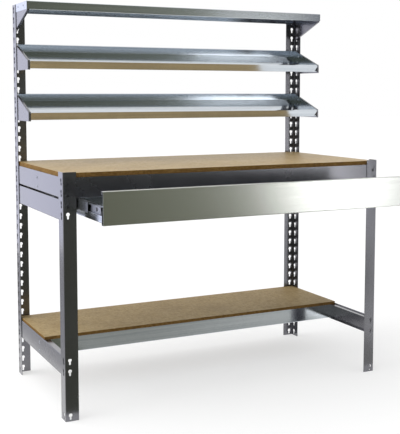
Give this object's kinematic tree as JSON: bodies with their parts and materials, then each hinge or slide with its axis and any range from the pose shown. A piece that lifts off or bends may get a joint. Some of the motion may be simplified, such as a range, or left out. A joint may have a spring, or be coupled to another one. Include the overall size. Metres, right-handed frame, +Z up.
{
  "type": "workbench",
  "caption": "Steel-framed workbench with a chipboard worktop, a wide drawer on telescopic slides, a half-depth lower shelf and a rear rack of tilted trays.",
  "frame": {"origin": "centre of the whole box at floor level, with the drawer at its resting place, 238 mm out", "axes": "+X to the user's right, +Y to the back, +Z up; the drawer opens along -Y"},
  "size_m": [1.2836, 0.8622, 1.445],
  "materials": {
    "anthracite_paint": "smooth anthracite powder coat",
    "painted_rivet": "anthracite, worn on the heads",
    "galvanised_steel": "galvanised, faint rolling streaks",
    "zinc_rivet": "zinc plated",
    "slide_steel": "zinc plated, rolled",
    "ball_steel": "polished balls in a plated cage",
    "drawer_steel": "galvanised, faint rolling streaks",
    "drawer_front_steel": "satin galvanised",
    "chipboard": "raw pressed chipboard",
    "shelf_chipboard": "raw pressed chipboard"
  },
  "bodies": {
    "frame": {"bottom_bracket_left": "anthracite_paint", "bottom_bracket_right": "anthracite_paint", "bottom_tray": "galvanised_steel", "bracket_rivets_left": "painted_rivet", "bracket_rivets_right": "painted_rivet", "drawer_side_beam_left": "anthracite_paint", "drawer_side_beam_right": "anthracite_paint", "front_upright_left": "anthracite_paint", "front_upright_right": "anthracite_paint", "front_upright_rivets_left": "painted_rivet", "front_upright_rivets_right": "painted_rivet", "lower_rear_beam": "anthracite_paint", "lower_shelf_board": "shelf_chipboard", "lower_shelf_tie": "galvanised_steel", "lower_side_beam_left": "anthracite_paint", "lower_side_beam_right": "anthracite_paint", "middle_bracket_left": "anthracite_paint", "middle_bracket_right": "anthracite_paint", "middle_tray": "galvanised_steel", "pan_screws_left": "zinc_rivet", "pan_screws_right": "zinc_rivet", "rear_upright_left": "anthracite_paint", "rear_upright_right": "anthracite_paint", "rear_upright_rivets_left": "painted_rivet", "rear_upright_rivets_right": "painted_rivet", "slide_outer_left": "slide_steel", "slide_outer_right": "slide_steel", "slide_rail_left": "anthracite_paint", "slide_rail_right": "anthracite_paint", "slide_rivets_left": "zinc_rivet", "slide_rivets_right": "zinc_rivet", "tie_rivets_left": "zinc_rivet", "tie_rivets_right": "zinc_rivet", "top_bracket_left": "anthracite_paint", "top_bracket_right": "anthracite_paint", "top_front_beam": "anthracite_paint", "top_pan": "galvanised_steel", "top_rear_beam": "anthracite_paint", "top_side_beam_left": "anthracite_paint", "top_side_beam_right": "anthracite_paint", "worktop_board": "chipboard", "worktop_tie": "galvanised_steel"},
    "drawer": {"drawer_back": "drawer_steel", "drawer_bottom": "drawer_steel", "drawer_box_rivets": "zinc_rivet", "drawer_corner_angles": "drawer_steel", "drawer_front": "drawer_front_steel", "drawer_front_screws": "zinc_rivet", "drawer_inner_front": "drawer_steel", "drawer_side_left": "drawer_steel", "drawer_side_right": "drawer_steel", "inner_member_rivets": "zinc_rivet", "slide_inner_left": "slide_steel", "slide_inner_right": "slide_steel"},
    "slide_middle_left": {"slide_middle_left": "slide_steel"},
    "slide_middle_right": {"slide_middle_right": "slide_steel"},
    "outer_cage_left": {"outer_ball_cage_left": "ball_steel"},
    "outer_cage_right": {"outer_ball_cage_right": "ball_steel"},
    "inner_cage_left": {"inner_ball_cage_left": "ball_steel"},
    "inner_cage_right": {"inner_ball_cage_right": "ball_steel"}
  },
  "joints": [
    {"name": "drawer_slide", "type": "slide", "parent": "frame", "child": "drawer", "axis": [0, -1, 0], "range_m": [-0.238, 0.172]},
    {"name": "slide_middle_left_travel", "type": "slide", "parent": "frame", "child": "slide_middle_left", "axis": [0, -1, 0], "range_m": [-0.119, 0.086]},
    {"name": "outer_cage_left_travel", "type": "slide", "parent": "frame", "child": "outer_cage_left", "axis": [0, -1, 0], "range_m": [-0.0595, 0.043]},
    {"name": "inner_cage_left_travel", "type": "slide", "parent": "frame", "child": "inner_cage_left", "axis": [0, -1, 0], "range_m": [-0.1785, 0.129]},
    {"name": "slide_middle_right_travel", "type": "slide", "parent": "frame", "child": "slide_middle_right", "axis": [0, -1, 0], "range_m": [-0.119, 0.086]},
    {"name": "outer_cage_right_travel", "type": "slide", "parent": "frame", "child": "outer_cage_right", "axis": [0, -1, 0], "range_m": [-0.0595, 0.043]},
    {"name": "inner_cage_right_travel", "type": "slide", "parent": "frame", "child": "inner_cage_right", "axis": [0, -1, 0], "range_m": [-0.1785, 0.129]}
  ],
  "couplings": [
    {"joint": "slide_middle_left_travel", "follows": "drawer_slide", "ratio": 0.5},
    {"joint": "outer_cage_left_travel", "follows": "drawer_slide", "ratio": 0.25},
    {"joint": "inner_cage_left_travel", "follows": "drawer_slide", "ratio": 0.75},
    {"joint": "slide_middle_right_travel", "follows": "drawer_slide", "ratio": 0.5},
    {"joint": "outer_cage_right_travel", "follows": "drawer_slide", "ratio": 0.25},
    {"joint": "inner_cage_right_travel", "follows": "drawer_slide", "ratio": 0.75}
  ]
}
